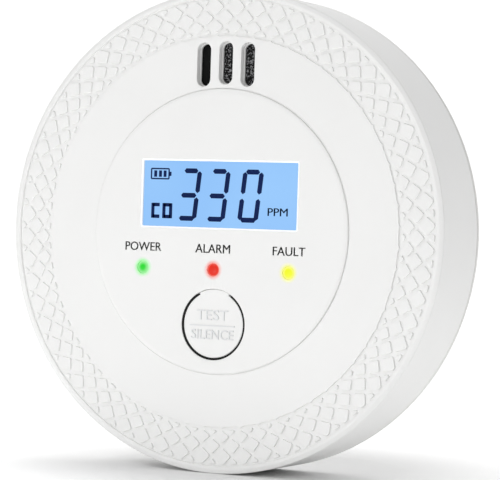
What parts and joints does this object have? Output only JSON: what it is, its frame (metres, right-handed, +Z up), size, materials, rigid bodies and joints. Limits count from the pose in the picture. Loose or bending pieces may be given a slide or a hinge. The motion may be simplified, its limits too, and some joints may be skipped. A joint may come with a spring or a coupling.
{
  "type": "carbon monoxide detector",
  "caption": "Round white wall-mounted carbon monoxide detector with a lit display, indicator lights, test button, battery door and twist-off bracket.",
  "frame": {"origin": "centre of the mounting bracket, on the wall plane", "axes": "+Z up on the wall, +Y into the wall, so the face looks along -Y; +X to the right as seen from the room"},
  "size_m": [0.1, 0.0205, 0.1],
  "materials": {
    "white_abs": "fine satin moulding",
    "lcd_panel": "glossy, lit pale blue",
    "lcd_backlight": "satin",
    "black_rubber": "matte",
    "green_light": "clear, lit green",
    "red_light": "clear, lit red",
    "yellow_light": "clear, lit yellow",
    "green_board": "solder mask",
    "black_plastic": "satin",
    "black_foam": "open mesh",
    "white_filter": "felt",
    "steel": "zinc plated",
    "tinned_steel": "bright tin plate",
    "brass": "satin",
    "battery_jacket": "glossy shrink sleeve"
  },
  "bodies": {
    "wall_bracket": {"mounting_bracket": "white_abs"},
    "detector": {"front_cover": "white_abs", "rear_cover": "white_abs", "lcd_glass": "lcd_panel", "lcd_backlight": "lcd_backlight", "lcd_connector_strip": "black_rubber", "light_pipe_power": "green_light", "light_pipe_alarm": "red_light", "light_pipe_fault": "yellow_light", "led_power": "green_light", "led_alarm": "red_light", "led_fault": "yellow_light", "circuit_board": "green_board", "button_switch": "black_plastic", "microcontroller": "black_plastic", "capacitor": "black_plastic", "sounder_coil": "black_plastic", "sounder_case": "black_plastic", "dust_filter": "black_foam", "sensor_filter": "white_filter", "co_sensor": "steel", "piezo_disc": "brass", "contact_positive": "tinned_steel", "contact_negative": "tinned_steel", "contact_bridge_left": "tinned_steel", "contact_bridge_right": "tinned_steel", "board_screw_1": "steel", "case_screw_1": "steel", "board_screw_2": "steel", "case_screw_2": "steel", "board_screw_3": "steel", "case_screw_3": "steel", "board_screw_4": "steel", "case_screw_4": "steel", "battery_1": "battery_jacket", "battery_spring_1": "tinned_steel", "battery_2": "battery_jacket", "battery_spring_2": "tinned_steel", "battery_3": "battery_jacket", "battery_spring_3": "tinned_steel"},
    "test_button": {"test_button": "white_abs"},
    "switch_plunger": {"switch_plunger": "black_plastic"},
    "battery_door": {"battery_door": "white_abs"}
  },
  "joints": [
    {"name": "bracket_twist", "type": "hinge", "parent": "wall_bracket", "child": "detector", "pos_m": [0, 0, 0], "axis": [0, -1, 0], "range_deg": [0, 15]},
    {"name": "button_press", "type": "hinge", "parent": "detector", "child": "test_button", "pos_m": [-0.00045, -0.0197, -0.01235], "axis": [1, 0, 0], "range_deg": [0, 3.4], "stiffness_Nm_per_rad": 0.3},
    {"name": "plunger_press", "type": "slide", "parent": "detector", "child": "switch_plunger", "axis": [0, 1, 0], "range_m": [0, 0.00025]},
    {"name": "battery_door_hinge", "type": "hinge", "parent": "detector", "child": "battery_door", "pos_m": [0, -0.0017, 0.01905], "axis": [1, 0, 0], "range_deg": [0, 95]}
  ],
  "couplings": [
    {"joint": "plunger_press", "follows": "button_press", "m_per_rad": 0.0042}
  ]
}
